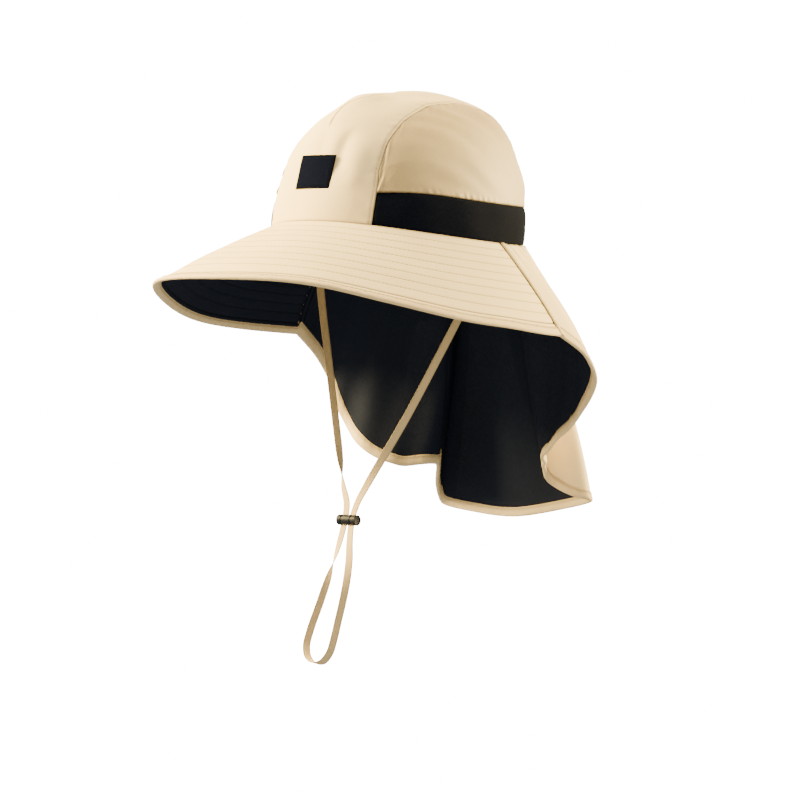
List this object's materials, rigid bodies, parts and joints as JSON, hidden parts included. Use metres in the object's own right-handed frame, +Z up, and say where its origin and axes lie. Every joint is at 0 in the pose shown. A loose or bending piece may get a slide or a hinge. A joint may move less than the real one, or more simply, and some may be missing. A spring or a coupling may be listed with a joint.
{
  "type": "flap sun hat",
  "caption": "Wide-brimmed sun hat with a long neck flap and a chin cord with a lock, shaped as worn.",
  "frame": {"origin": "the middle of the head opening, at the height of its sides, where the hat sits on a head", "axes": "+Z up out of the crown, -Y the way the hat faces, +X the wearer's left"},
  "size_m": [0.2798, 0.3557, 0.4169],
  "materials": {
    "beige_twill": "matt quick-dry twill",
    "beige_nylon": "thin nylon with a soft sheen",
    "beige_tape": "folded binding tape",
    "black_mesh": "matt knitted band",
    "black_lining": "matt lining cloth",
    "black_woven": "fine woven patch, bare",
    "black_plastic": "smooth moulded plastic",
    "beige_cord": "flat woven tape"
  },
  "bodies": {
    "root": {"crown_panel": "beige_twill", "side_panel_left": "beige_nylon", "side_panel_right": "beige_nylon", "crown_band": "black_mesh", "front_patch": "black_woven", "brim_top": "beige_twill", "brim_lining": "black_lining", "brim_binding": "beige_tape", "flap_outer": "beige_twill", "flap_lining": "black_lining", "flap_binding": "beige_tape", "chin_cord": "beige_cord", "cord_lock": "black_plastic"}
  },
  "joints": []
}
